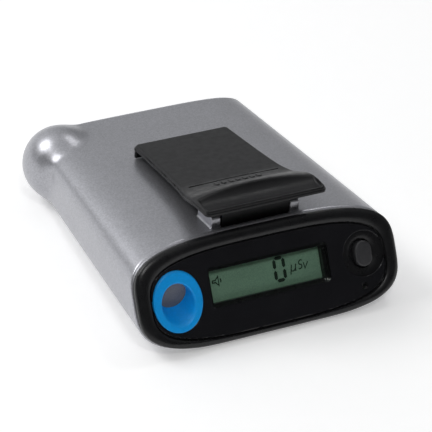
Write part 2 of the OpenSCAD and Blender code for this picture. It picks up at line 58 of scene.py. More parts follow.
def corners(node):
    """Lowest and highest corner of a CAD node, in millimetres."""
    low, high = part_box(node)
    return np.array(low) / MM, np.array(high) / MM


def middle(node):
    low, high = corners(node)
    return (low + high) / 2


# ---- Places, taken from the frame ----

LEAN = math.radians(30)
SIN, COS, TAN = math.sin(LEAN), math.cos(LEAN), math.tan(LEAN)
FACE_OUT = np.array([0, -COS, SIN])
FACE_UP = np.array([0, SIN, COS])

GASKET_D = 0.2
FACE = middle("bezel_gasket") - GASKET_D * FACE_OUT
CASE_W = corners("case_shell")[1][0]
CELL = middle("battery_cell")
HORN = middle("horn_mesh")
PIN = middle("clip_pin")
CLIP_LOW, CLIP_HIGH = corners("belt_clip")
LABEL = middle("blank_label")
BEZEL_FRONT = corners("front_bezel")[0][1]


def on_face(point):
    """A point as (right, up the face, out of the face) from the middle of the face."""
    offset = np.asarray(point) - FACE
    return np.array([offset[0], offset @ FACE_UP, offset @ FACE_OUT])


VIEW = on_face(middle("lcd_window"))
BUTTON = on_face(middle("button_switch"))
LIGHT = on_face(middle("light_pipe"))

# Case
FRONT_H = 22.0
REAR_H = 16.6
REAR_W = 28.2
REAR_Y = 35.6
FRONT_N = 3.5
REAR_N = 4.8
FOOT_CUT = 0.3
WALL = 1.6
REAR_ROUND = 1.6
EDGE_ROUND = 0.6
DOME_R = 9.2
DOME_Y = 30.2
DOME_BLEND = 1.7
TUBE_R = 6.6
CHAMBER_R = 5.5
PLUG_HOLE_R = 6.2
PLUG_Y = 33.0
POCKET_LOW = np.array([-8.75, -25.0, 19.6])
POCKET_HIGH = np.array([8.75, -16.4, 40.0])
EAR_X0, EAR_X1 = 8.9, 11.2
EAR_R = 2.3
PIN_R = 0.78
SCREW_AT = ((6, -12), (6, 24))
SCREW_R = 0.97
SCREW_HEAD_R = 1.93
SCREW_EDGE = 1.95  # from the edge of the frame's box to a screw's axis
LABEL_W, LABEL_L, LABEL_R = 13.2, 10.2, 2.2

# Face, in millimetres out from the plane of the case's front edge
PANEL_D = 1.6
PANEL_W, PANEL_H = 30.0, 10.3
PANEL_V = -0.9
PANEL_N = 3.3
VIEW_W, VIEW_H = 14.4, 3.7
HORN_R = 6.1
MOUTH_R = 4.5
THROAT_R = 3.3
THROAT_Y = -31.2
DISH_R = 5.3
DISH_DEPTH = 1.25
BUTTON_W, BUTTON_L = 4.3, 6.1
BUTTON_TOP = 2.0
BOSSES = ((18.7, 5.6), (18.7, -3.6), (-14.8, 8.3))
BOSS_R = 1.4
SLEEVE_GAP = 0.65
WINDOW_LAP = 0.9
GUIDE_GAP = 0.3
LIGHT_R = 0.78
LCD_W, LCD_H = 15.1, 5.3
LCD_D = -1.4
LCD_T = 1.6


# ---- Fields: shapes as distances ----


def hypot3(a, b, c):
    return np.sqrt(a * a + b * b + c * c)


def sphere(p, centre, r):
    q = p - centre
    return hypot3(q[:, 0], q[:, 1], q[:, 2]) - r


def disc(a, b, r):
    return np.hypot(a, b) - r


def cuboid(p, low, high, r=0.0):
    low, high = np.asarray(low, float), np.asarray(high, float)
    q = np.abs(p - (low + high) / 2) - (high - low) / 2 + r
    return np.linalg.norm(np.maximum(q, 0), axis=1) + np.minimum(q.max(axis=1), 0) - r


def rectangle(a, b, half_a, half_b, r=0.0):
    qa, qb = np.abs(a) - half_a + r, np.abs(b) - half_b + r
    return np.hypot(np.maximum(qa, 0), np.maximum(qb, 0)) + np.minimum(np.maximum(qa, qb), 0) - r


def obround(a, b, half_w, half_l):
    return np.hypot(a, np.maximum(np.abs(b) - (half_l - half_w), 0)) - half_w


def squircle(a, b, half_a, half_b, n):
    """Distance to a superellipse, true near its outline."""
    ra, rb = np.abs(a) / half_a + 1e-6, np.abs(b) / half_b + 1e-6
    rho = (ra**n + rb**n) ** (1 / n)
    slope = np.hypot((ra / rho) ** (n - 1) / half_a, (rb / rho) ** (n - 1) / half_b)
    return (rho - 1) / slope


def slab(t, low, high):
    return np.maximum(low - t, t - high)


def both(a, b, r=0.0):
    """Intersection, with its edge rounded to r."""
    if r == 0:
        return np.maximum(a, b)
    return np.minimum(np.maximum(a, b), -r) + np.hypot(np.maximum(a + r, 0), np.maximum(b + r, 0))


def either(a, b, r=0.0):
    """Union, with a fillet of r."""
    if r == 0:
        return np.minimum(a, b)
    return np.maximum(np.minimum(a, b), r) - np.hypot(np.maximum(r - a, 0), np.maximum(r - b, 0))


def without(a, b, r=0.0):
    return both(a, -b, r)


def melt(a, b, k):
    """Union whose surfaces flow into each other over k."""
    h = np.clip(0.5 + 0.5 * (b - a) / k, 0, 1)
    return b + (a - b) * h - k * h * (1 - h)


def curve(t, knots):
    """Smooth height along t through [t, height] knots, by monotone cubic pieces."""
    x, y = np.array(knots, float).T
    step = np.diff(y) / np.diff(x)
    slope = np.zeros(len(x))
    slope[0], slope[-1] = step[0], step[-1]
    for i in range(1, len(x) - 1):
        if step[i - 1] * step[i] > 0:
            w1, w2 = 2 * (x[i + 1] - x[i]) + x[i] - x[i - 1], x[i + 1] - x[i] + 2 * (x[i] - x[i - 1])
            slope[i] = (w1 + w2) / (w1 / step[i - 1] + w2 / step[i])
    t = np.clip(t, x[0], x[-1])
    i = np.clip(np.searchsorted(x, t) - 1, 0, len(x) - 2)
    h = x[i + 1] - x[i]
    s = (t - x[i]) / h
    return (
        y[i] * (1 + 2 * s) * (1 - s) ** 2
        + slope[i] * h * s * (1 - s) ** 2
        + y[i + 1] * s * s * (3 - 2 * s)
        + slope[i + 1] * h * s * s * (s - 1)
    )


def case_top(y):
    """Height of the case's upper surface on its middle line."""
    front = FACE[1] + FACE[2] * TAN
    return FRONT_H + (REAR_H - FRONT_H) * (y - front) / (REAR_Y - front)


def face_axes(p):
    q = p - FACE
    return q[:, 0], q @ FACE_UP, q @ FACE_OUT


# ---- The mesher ----


def gradient(field, p, h=0.02):
    out = np.empty_like(p)
    for axis in range(3):
        step = np.zeros(3)
        step[axis] = h
        out[:, axis] = field(p + step) - field(p - step)
    return out / np.maximum(np.linalg.norm(out, axis=1, keepdims=True), 1e-12)


def crossing_points(field, a, b, da, db):
    """Where the field is zero between points a and b, by false position."""
    for _ in range(3):
        t = (da / (da - db))[:, None]
        mid = a + (b - a) * t
        dm = field(mid)
        inside = (dm < 0) == (da < 0)
        a, da = np.where(inside[:, None], mid, a), np.where(inside, dm, da)
        b, db = np.where(inside[:, None], b, mid), np.where(inside, db, dm)
        da = np.where(da == 0, 1e-9, da)
        db = np.where(db == 0, -1e-9 * np.sign(da), db)
    return a + (b - a) * (da / (da - db))[:, None]


def contour(field, low, high, step, sheared=False):
    """Dual contouring: the points, quads and outward normals of the field's zero surface."""
    low = np.asarray(low, float) - 1.5 * step
    count = np.ceil((np.asarray(high) - low) / step + 1.5).astype(int) + 1
    shear = TAN if sheared else 0.0

    def place(index):
        q = low + step * index
        q[:, 1] += shear * (q[:, 2] - FACE[2])
        return q

    values = np.empty(count)
    plane = np.indices((1, *count[1:])).reshape(3, -1).T.astype(float)
    for i in range(count[0]):
        plane[:, 0] = i
        values[i] = field(place(plane)).reshape(count[1:])
    values[values == 0] = 1e-9
    inside = values < 0

    starts, axes, points = [], [], []
    for axis in range(3):
        ahead = np.take(inside, range(1, count[axis]), axis)
        here = np.take(inside, range(count[axis] - 1), axis)
        cell = np.argwhere(here != ahead)
        after = cell.copy()
        after[:, axis] += 1
        a, b = place(cell.astype(float)), place(after.astype(float))
        points.append(crossing_points(field, a, b, values[tuple(cell.T)], values[tuple(after.T)]))
        starts.append(cell)
        axes.append(np.full(len(cell), axis))
    start, axis, point = np.concatenate(starts), np.concatenate(axes), np.concatenate(points)
    normal = gradient(field, point)

    around = np.empty((len(start), 4, 3), int)
    for k, (u, v) in enumerate(((-1, -1), (0, -1), (0, 0), (-1, 0))):
        around[:, k] = start
        rows = np.arange(len(start))
        around[rows, k, (axis + 1) % 3] += u
        around[rows, k, (axis + 2) % 3] += v
    key = np.ravel_multi_index(around.reshape(-1, 3).T, count)
    cells, owner = np.unique(key, return_inverse=True)
    owner = owner.reshape(-1)
    quads = owner.reshape(-1, 4).copy()
    flip = ~inside[tuple(start.T)]
    quads[flip] = quads[flip][:, ::-1]

    # Each cell's vertex lies where the tangent planes of its crossings meet best.
    n4, p4 = np.repeat(normal, 4, axis=0), np.repeat(point, 4, axis=0)
    total = len(cells)

    def gather(weight):
        return np.bincount(owner, weight, total)

    number = gather(np.ones(len(owner)))
    mass = np.stack([gather(p4[:, i]) for i in range(3)], 1) / number[:, None]
    ata = np.empty((total, 3, 3))
    for i in range(3):
        for j in range(3):
            ata[:, i, j] = gather(n4[:, i] * n4[:, j])
    reach = ((p4 - mass[owner]) * n4).sum(1)
    atb = np.stack([gather(n4[:, i] * reach) for i in range(3)], 1)
    soft = 0.03 * number[:, None, None] * np.eye(3)
    vertex = mass + np.linalg.solve(ata + soft, atb[..., None])[..., 0]
    flat = vertex.copy()
    flat[:, 1] -= shear * (flat[:, 2] - FACE[2])
    index = np.array(np.unravel_index(cells, count)).T
    flat = np.clip(flat, low + step * (index + 0.01), low + step * (index + 0.99))
    flat[:, 1] += shear * (flat[:, 2] - FACE[2])
    return flat, quads


def corner_normals(field, mesh, crease):
    """Each face corner's normal from the field, taken on the face's own side of a crease."""
    count = len(mesh.loops)
    vertex = np.empty(count, int)
    mesh.loops.foreach_get("vertex_index", vertex)
    spots = np.empty(len(mesh.vertices) * 3)
    mesh.vertices.foreach_get("co", spots)
    spots = spots.reshape(-1, 3) / MM
    sizes = np.empty(len(mesh.polygons), int)
    mesh.polygons.foreach_get("loop_total", sizes)
    face = np.repeat(np.arange(len(sizes)), sizes)
    flat = np.empty(len(sizes) * 3)
    mesh.polygons.foreach_get("normal", flat)
    flat = flat.reshape(-1, 3)[face]
    centre = np.empty(len(sizes) * 3)
    mesh.polygons.foreach_get("center", centre)
    centre = centre.reshape(-1, 3)[face] / MM
    smooth = gradient(field, spots)[vertex]
    limit = math.cos(crease)
    worst = np.ones(len(spots))
    np.minimum.at(worst, vertex, (smooth * flat).sum(1))
    sharp = worst[vertex] < limit
    own = gradient(field, spots[vertex[sharp]] * 0.7 + centre[sharp] * 0.3)
    off = (own * flat[sharp]).sum(1) < limit
    own[off] = flat[sharp][off]
    smooth[sharp] = own
    return smooth


def shaped(name, field, low, high, step, body, material, replaces=(), slot=None, sheared=False,
           keep=0.5, crease=28):
    """A finished piece from a field, riding on a body; keep is the share of faces kept."""
    points, quads = contour(field, low, high, step, sheared)
    mesh = bpy.data.meshes.new(name)
    mesh.from_pydata((points * MM).tolist(), [], quads.tolist())
    piece = bpy.data.objects.new(name, mesh)
    bpy.context.scene.collection.objects.link(piece)
    if keep < 1:
        thin = piece.modifiers.new("thin", "DECIMATE")
        thin.ratio = keep
        graph = bpy.context.evaluated_depsgraph_get()
        lighter = bpy.data.meshes.new_from_object(piece.evaluated_get(graph))
        piece.modifiers.clear()
        piece.data = lighter
        bpy.data.meshes.remove(mesh)
        lighter.name = name
        mesh = lighter
    mesh.polygons.foreach_set("use_smooth", [True] * len(mesh.polygons))
    mesh.normals_split_custom_set(corner_normals(field, mesh, math.radians(crease)).tolist())
    mesh.materials.append(material)
    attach(piece, body)
    if replaces:
        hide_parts(*replaces)
    return piece


# ---- Fields of the pieces ----


def body_form(p, inset=0.0):
    """The outside of the case: a flattened tube that tapers from the leaning face to the rear."""
    x, y, z = p.T
    front = FACE[1] + (z - FACE[2]) * TAN
    t = np.clip((y - front) / (REAR_Y - front), -0.1, 1.1)
    half_w = CASE_W + (REAR_W - CASE_W) * t
    height = FRONT_H + (REAR_H - FRONT_H) * t
    n = FRONT_N + (REAR_N - FRONT_N) * t
    half_h = (height + FOOT_CUT) / 2
    side = squircle(x, z - (height - FOOT_CUT) / 2, half_w, half_h, n) + inset
    side = both(side, inset - z, 0.5)
    return both(side, y - REAR_Y + inset, max(REAR_ROUND - inset * 0.6, 0.5))


def dome(p):
    return sphere(p, np.array([CELL[0], DOME_Y, CELL[2]]), DOME_R)


def housing(p):
    """The battery tube, which ends in the dome."""
    x, y, z = p.T
    tube = both(np.hypot(x - CELL[0], z - CELL[2]) - TUBE_R, slab(y, -13, DOME_Y))
    return either(tube, dome(p))


def ear(p, x0, x1):
    """A lug that holds the end of the pin: a round head, its front wall and its root."""
    x, y, z = p.T
    side = disc(y - PIN[1], z - PIN[2], EAR_R)
    side = either(side, rectangle(y + 22.65, z - 22.1, 2.15, 2.5, 0.5))
    side = either(side, rectangle(y + 20.2, z - 21.9, 2.3, 1.9))
    return both(side, slab(x, x0, x1), 0.3)


def case_field(p):
    x, y, z = p.T
    d = face_axes(p)[2]
    outside = melt(body_form(p), dome(p), DOME_BLEND)
    outside = either(outside, ear(p, EAR_X0, EAR_X1), 0.5)
    outside = either(outside, ear(p, -EAR_X1, -EAR_X0), 0.5)
    outside = both(outside, d, EDGE_ROUND)
    inside = both(body_form(p, WALL), y - (REAR_Y - WALL))
    pocket_walls = cuboid(p, POCKET_LOW - [WALL, WALL, WALL - 0.1], POCKET_HIGH + [WALL, WALL, 0])
    inside = without(inside, either(housing(p), pocket_walls))
    shell = without(outside, inside)
    shell = without(shell, cuboid(p, POCKET_LOW, POCKET_HIGH), 0.2)
    shell = without(shell, disc(y - PIN[1], z - PIN[2], 0.8))
    radius = np.hypot(x - CELL[0], z - CELL[2])
    chamber = both(radius - CHAMBER_R, slab(y, -14, PLUG_Y + 1))
    shell = without(shell, chamber)
    shell = without(shell, both(radius - PLUG_HOLE_R, PLUG_Y - y), 0.25)
    for screw_x, screw_y in SCREW_AT:
        hole = disc(x - screw_x, y - screw_y, SCREW_R + 0.13)
        shell = without(shell, both(hole, z - WALL - 3))
        seat = disc(x - screw_x, y - screw_y, SCREW_HEAD_R + 0.12)
        shell = without(shell, both(seat, z - 0.9), 0.1)
    recess = both(rectangle(x, y - LABEL[1], LABEL_W, LABEL_L, LABEL_R), z - 0.25)
    return without(shell, recess, 0.1)


def rim_distance(u, v):
    """Distance to the outline of the face, in its own plane."""
    half_v = (FRONT_H + FOOT_CUT) / 2 / COS
    outline = squircle(u, v + FOOT_CUT / 2 / COS, CASE_W, half_v, FRONT_N)
    return both(outline, -v - FRONT_H / 2 / COS, 0.6)


def panel_distance(u, v):
    return squircle(u, v - PANEL_V, PANEL_W, PANEL_H, PANEL_N)


def funnel(p, r, ends=(-60, 60)):
    """A bore along Y through the middle of the horn."""
    x, y, z = p.T
    return both(disc(x - HORN[0], z - HORN[2], r), slab(y, *ends))


def bezel_field(p):
    y = p[:, 1]
    u, v, d = face_axes(p)
    rim = rim_distance(u, v)
    panel = panel_distance(u, v)
    # The rim is a roll that rises from the case's edge and sinks towards the panel.
    across = np.clip(-rim / (-rim + np.maximum(panel, 0) + 1e-6), 0, 1)
    rise = np.sqrt(np.maximum(1 - (1 - np.minimum(across / 0.6, 1)) ** 2, 0))
    fall = np.clip((across - 0.6) / 0.4, 0, 1)
    top = 0.75 + 1.45 * rise - 0.4 * fall * fall
    out = both(rim + 0.3, d - top, 0.25)
    out = both(out, 0.4 - d, 0.1)
    out = both(out, BEZEL_FRONT - y, 0.5)
    # Groove between the rim and the panel.
    out = without(out, both(np.abs(panel + 0.05) - 0.22, 1.2 - d))
    out = without(out, both(panel + 0.05, 1.1 - d), 0.1)
    # Sleeve that plugs into the case.
    sleeve = both(body_form(p, WALL + SLEEVE_GAP), d - 0.5)
    sleeve = both(sleeve, -d - 3.9)
    hollow = both(body_form(p, WALL + 2.0), d + 1.2)
    sleeve = without(sleeve, hollow)
    sleeve = without(sleeve, cuboid(p, [-10.75, -40, 17.2], [10.75, 0, 24]))
    out = either(out, sleeve)
    out = without(out, funnel(p, HORN_R + 0.02))
    # Window pocket, view opening, dish, button hole and the hole of the light.
    pocket = rectangle(u - VIEW[0], v - VIEW[1], VIEW_W + WINDOW_LAP, VIEW_H + WINDOW_LAP, 1)
    out = without(out, both(pocket, 0.3 - d))
    out = without(out, rectangle(u - VIEW[0], v - VIEW[1], VIEW_W, VIEW_H, 0.3))
    radius = np.hypot(u - BUTTON[0], v - BUTTON[1])
    bowl_r = (DISH_R**2 + DISH_DEPTH**2) / (2 * DISH_DEPTH)
    bowl = np.hypot(radius, d - (PANEL_D + bowl_r - DISH_DEPTH)) - bowl_r
    out = without(out, both(bowl, radius - DISH_R), 0.15)
    guide = obround(u - BUTTON[0], v - BUTTON[1], BUTTON_W / 2 + GUIDE_GAP, BUTTON_L / 2 + GUIDE_GAP)
    out = without(out, guide, 0.12)
    out = without(out, both(disc(u - LIGHT[0], v - LIGHT[1], LIGHT_R + 0.04), -d - 2))
    for boss_u, boss_v in BOSSES:
        post = both(disc(u - boss_u, v - boss_v, BOSS_R), slab(d, -4.8, -1))
        bore = both(disc(u - boss_u, v - boss_v, 0.8), d + 2.4)
        out = either(out, without(post, bore), 0.3)
    return out


def panel_field(p):
    u, v, d = face_axes(p)
    out = both(panel_distance(u, v) + 0.32, slab(d, PANEL_D - 0.5, PANEL_D), 0.1)
    pocket = rectangle(u - VIEW[0], v - VIEW[1], VIEW_W + 0.93, VIEW_H + 0.93, 1)
    out = without(out, pocket)
    out = without(out, np.hypot(u - BUTTON[0], v - BUTTON[1]) - DISH_R, 0.12)
    out = without(out, disc(u - LIGHT[0], v - LIGHT[1], LIGHT_R + 0.04), 0.06)
    return without(out, funnel(p, HORN_R + 0.05), 0.08)


def window_field(p):
    u, v, d = face_axes(p)
    plan = rectangle(u - VIEW[0], v - VIEW[1], VIEW_W + 0.88, VIEW_H + 0.88, 0.97)
    return both(plan, slab(d, PANEL_D - 1.28, PANEL_D - 0.02))


def horn_field(p):
    x, y, z = p.T
    d = face_axes(p)[2]
    radius = np.hypot(x - HORN[0], z - HORN[2])
    out = both(radius - HORN_R + 0.03, d - PANEL_D - 0.28, 0.4)
    out = both(out, y + 28.4)
    # The funnel narrows from its mouth to the mesh, with a soft lip.
    depth = THROAT_Y - y
    wide = THROAT_R + (MOUTH_R - THROAT_R) * np.clip(depth / 5.5, 0, 1.6) ** 0.9
    out = without(out, both(radius - wide, -depth), 0.5)
    return without(out, both(radius - THROAT_R - 0.45, THROAT_Y - y))


def horn_mesh_field(p):
    x, y, z = p.T
    radius = np.hypot(x - HORN[0], z - HORN[2])
    return both(radius - THROAT_R - 0.42, slab(y, THROAT_Y + 0.02, THROAT_Y + 0.58), 0.1)


def button_field(p):
    u, v, d = face_axes(p)
    a, b = u - BUTTON[0], v - BUTTON[1]
    crown = BUTTON_TOP - 0.012 * (a * a + b * b)
    stem = both(obround(a, b, BUTTON_W / 2, BUTTON_L / 2), slab(d, -1.5, crown), 0.45)
    flange = both(obround(a, b, BUTTON_W / 2 + 0.68, BUTTON_L / 2 + 0.68), slab(d, -2.18, -1.42), 0.1)
    return either(stem, flange, 0.1)


def light_field(p):
    u, v, d = face_axes(p)
    radius = np.hypot(u - LIGHT[0], v - LIGHT[1])
    return both(radius - LIGHT_R, slab(d, -1.68, PANEL_D + 0.09 - 0.25 * radius**2), 0.06)


# ---- Belt clip ----

# Side view of the plate's edge as (y, z), from the lip to the tip.
EDGE = ((-31, 29.9), (-29.6, 30.05), (-26.3, 30.0), (-22, 29.2), (-19.2, 28.0), (-16.5, 26.8),
        (-13.4, 26.1), (-7, 25.1), (13.6, 22.1))
# Side view of its underside as (y, z).
UNDER = ((-31, 28.5), (-29.6, 28.6), (-26, 28.3), (-22.5, 27.7), (-19.2, 26.5), (-16.5, 25.4),
         (-13.4, 24.7), (-7, 23.65), (13.6, 20.8))
# Half width of the plate as (y, x).
PLAN = ((-31, 15.4), (-22, 15.3), (-20, 15.0), (-16, 14.2), (-10, 13.3), (13.6, 12.4))
CLIP_CORNER = 1.3
# How far the middle of the plate rises above its edge, as (y, height).
CROWN = ((-29.6, 0.0), (-27.5, 0.25), (-25, 1.2), (-22.5, 1.5), (-20, 1.3), (-16, 0.4), (-12.5, 0.0))
HOLLOW_Y, HOLLOW_Z, HOLLOW_R = -26.2, 29.0, 4.4
LINE_Y = -13.4
RIB_Y = -15.3
RIB_STEP = 1.8
HUB_X = 8.6
KNUCKLE_X, KNUCKLE_R = 3.6, 2.7


def clip_top(x, y):
    """Height of the plate, which swells into a crest across the thumb tab."""
    return curve(y, EDGE) + curve(y, CROWN) * (1 - (x / CLIP_HIGH[0]) ** 2)


def clip_hub(p):
    """A front wall and two knuckles on the pin."""
    x, y, z = p.T
    wall = cuboid(p, [-HUB_X, -24.6, 21.2], [HUB_X, -23.4, 28.4], 0.25)
    side = disc(y - PIN[1], z - PIN[2], KNUCKLE_R)
    side = either(side, rectangle(y + 22.55, z - 24.75, 2.05, 3.55, 0.3))
    side = either(side, rectangle(y + 19.65, z - 25.55, 1.85, 1.75))
    return either(wall, both(side, slab(np.abs(x), KNUCKLE_X, HUB_X), 0.15), 0.3)


def clip_field(p):
    x, y, z = p.T
    top, under = clip_top(x, y), curve(y, UNDER)
    plan = both(np.abs(x) - curve(y, PLAN), slab(y, CLIP_LOW[1], CLIP_HIGH[1]), CLIP_CORNER)
    plate = both(both(plan + 0.25, (z - top) * 0.9, 0.5), (under - z) * 0.9, 0.2)
    # A thin flange runs along the plate's lower edge.
    plate = either(plate, both(plan, slab(z, under, under + 0.7), 0.2))
    # Hollow of the thumb tab, closed at the sides by thin rims.
    hollow = both(disc(y - HOLLOW_Y, z - HOLLOW_Z - HOLLOW_R, HOLLOW_R), np.abs(x) - 14.7, 0.6)
    plate = without(plate, hollow, 0.35)
    under_tab = both(both(plan + 1.2, slab(y, -28.2, -14), 0.3), slab(z, under - 0.9, top - 1.2), 0.2)
    floor = -disc(y - HOLLOW_Y, z - HOLLOW_Z - HOLLOW_R, HOLLOW_R + 1.2)
    plate = either(plate, both(under_tab, floor, 0.2))
    # The tip turns down to the case.
    foot = both(plan, slab(y, CLIP_HIGH[1] - 1.6, CLIP_HIGH[1] + 1), 0.4)
    foot = both(foot, slab(z, case_top(CLIP_HIGH[1]) + 0.3, top - 0.6), 0.5)
    plate = either(plate, foot, 0.4)
    # Groove line and grip ribs behind the crest.
    line = rectangle(y - LINE_Y, z - top, 0.16, 0.22)
    plate = without(plate, both(line, np.abs(x) - 11.6), 0.05)
    beat = np.abs((x + RIB_STEP / 2) % RIB_STEP - RIB_STEP / 2)
    rib = both(rectangle(beat, y - RIB_Y, 0.5, 0.8, 0.4), np.abs(x) - 6.4)
    rib = both(rib, slab(z, top - 0.5, top + 0.25), 0.12)
    plate = either(plate, rib, 0.1)
    out = either(plate, both(clip_hub(p), z - top + 1.2), 0.3)
    return without(out, disc(y - PIN[1], z - PIN[2], 0.86))


def pin_field(p):
    x, y, z = p.T
    return both(disc(y - PIN[1], z - PIN[2], PIN_R), np.abs(x) - EAR_X1 + 0.22, 0.2)


def plug_field(p):
    """The rear cap of the dome, with a coin slot and a groove for its seal."""
    x, y, z = p.T
    radius = np.hypot(x - CELL[0], z - CELL[2])
    out = both(both(radius - 6.07, dome(p) + 0.02, 0.3), PLUG_Y + 0.42 - y, 0.15)
    slot_y = DOME_Y + DOME_R - 1.8
    out = without(out, both(np.abs(z - CELL[2]) - 0.8, slot_y - y), 0.15)
    return without(out, both(slab(y, PLUG_Y + 1.55, PLUG_Y + 2.45), 5.33 - radius))


def screw_field(x0, y0):
    """The field of a case screw that stands head down, with a cross recess."""

    def field(p):
        x, y, z = p.T
        a, b = x - x0, y - y0
        radius = np.hypot(a, b)
        head = both(radius - SCREW_HEAD_R, slab(z, 0.12 + 0.03 * radius**2, 0.9), 0.12)
        shank = both(radius - SCREW_R - 0.04 * np.cos(z * 14), slab(z, 0.5, 4.08))
        cross = np.minimum(rectangle(a, b, 1.15, 0.24), rectangle(a, b, 0.24, 1.15))
        return without(either(head, shank, 0.1), both(cross, z - 0.7), 0.05)

    return field


# ---- Display marks ----


def face_point(u, v, d):
    return FACE + np.array([u, 0, 0]) + v * FACE_UP + d * FACE_OUT


def ribbon(points, width):
    """The outline of a stroke of even width along 2D points, with mitred corners."""
    pts = np.array(points, float)
    last = len(pts) - 1
    left, right = [], []
    for i, here in enumerate(pts):
        before = here - pts[i - 1] if i else pts[1] - here
        after = pts[i + 1] - here if i < last else here - pts[i - 1]
        before, after = before / np.linalg.norm(before), after / np.linalg.norm(after)
        along = before + after
        along = along / np.linalg.norm(along)
        side = np.array([-along[1], along[0]])
        reach = width / 2 / max(0.5, side @ np.array([-before[1], before[0]]))
        left.append(here + side * reach)
        right.append(here - side * reach)
    return left + right[::-1]


def bar(a, b, width):
    """A display segment from a to b, with pointed ends."""
    a, b = np.array(a, float), np.array(b, float)
    along = (b - a) / np.linalg.norm(b - a)
    side = np.array([-along[1], along[0]]) * width / 2
    nose = along * width / 2
    return [a, a + nose + side, b - nose + side, b, b - nose - side, a + nose - side]


def marks(name, outlines, d, thick, material):
    """Flat closed prisms standing on the display's glass."""
    points, faces = [], []
    for outline in outlines:
        base, n = len(points), len(outline)
        area = sum(outline[i - 1][0] * q[1] - q[0] * outline[i - 1][1] for i, q in enumerate(outline))
        outline = outline if area > 0 else outline[::-1]
        for depth in (d, d + thick):
            points += [face_point(q[0], q[1], depth) * MM for q in outline]
        faces.append([base + i for i in reversed(range(n))])
        faces.append([base + n + i for i in range(n)])
        faces += [[base + i, base + (i + 1) % n, base + n + (i + 1) % n, base + n + i] for i in range(n)]
    mesh = bpy.data.meshes.new(name)
    mesh.from_pydata([tuple(q) for q in points], [], faces)
    piece = bpy.data.objects.new(name, mesh)
    bpy.context.scene.collection.objects.link(piece)
    mesh.materials.append(material)
    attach(piece, "case")
    return piece


def digit_zero(u, v, w, h):
    """The six lit segments of a zero."""
    s, g = 0.8, 0.16
    left, right, low, mid, high = u, u + w, v, v + h / 2, v + h
    return [
        bar((left + g, high), (right - g, high), s),
        bar((left + g, low), (right - g, low), s),
        bar((left, mid + g), (left, high - g), s),
        bar((right, mid + g), (right, high - g), s),
        bar((left, low + g), (left, mid - g), s),
        bar((right, low + g), (right, mid - g), s),
    ]


def slanted(points, u, v, size, lean=0.22):
    return [(u + size * (a + lean * b), v + size * b) for a, b in points]


def unit_marks(u, v):
    """The unit of dose, microsievert."""
    width, size = 0.26, 1.55
    mu_left = [(0, -0.45), (0, 0.3), (0, 1)]
    mu_bowl = [(0, 0.35), (0.1, 0.08), (0.35, 0), (0.6, 0.12), (0.72, 0.4)]
    mu_right = [(0.72, 1), (0.72, 0.4), (0.75, 0.05), (0.9, 0.05)]
    bend = [(0.25 * math.cos(a) * 1.15, 0.32 * math.sin(a)) for a in np.radians(range(40, 271, 23))]
    upper = [(x, y + 1.05) for x, y in bend]
    lower = [(-x, -y + 0.4) for x, y in bend[::-1]]
    v_mark = [(0, 0.95), (0.32, 0.02), (0.72, 0.95)]
    strokes = [slanted(stroke, u, v, size) for stroke in (mu_left, mu_bowl, mu_right)]
    strokes.append(slanted([(x, y) for x, y in upper + lower], u + 2.35, v + 0.05, size))
    strokes.append(slanted(v_mark, u + 3.15, v, size))
    return [ribbon(stroke, width) for stroke in strokes]


def speaker_marks(u, v):
    """A small loudspeaker, which says that the sounder is on."""
    box = [(0, 0.7), (0.75, 0.7), (1.5, 1.5), (1.5, -0.6), (0.75, 0.2), (0, 0.2), (0, 0.7)]
    wave = [(2.0, 0.9), (2.15, 0.45), (2.0, 0.0)]
    return [ribbon([(u + a, v + b) for a, b in line], 0.3) for line in (box, wave)]


def lcd_field(p):
    u, v, d = face_axes(p)
    a, b = u - VIEW[0], v - VIEW[1]
    glass = both(rectangle(a, b, LCD_W, LCD_H), slab(d, LCD_D - LCD_T, LCD_D - 0.15), 0.05)
    film = both(rectangle(a, b, LCD_W - 0.4, LCD_H - 0.4, 0.2), slab(d, LCD_D - 0.5, LCD_D), 0.05)
    return either(glass, film)


# ---- Materials ----


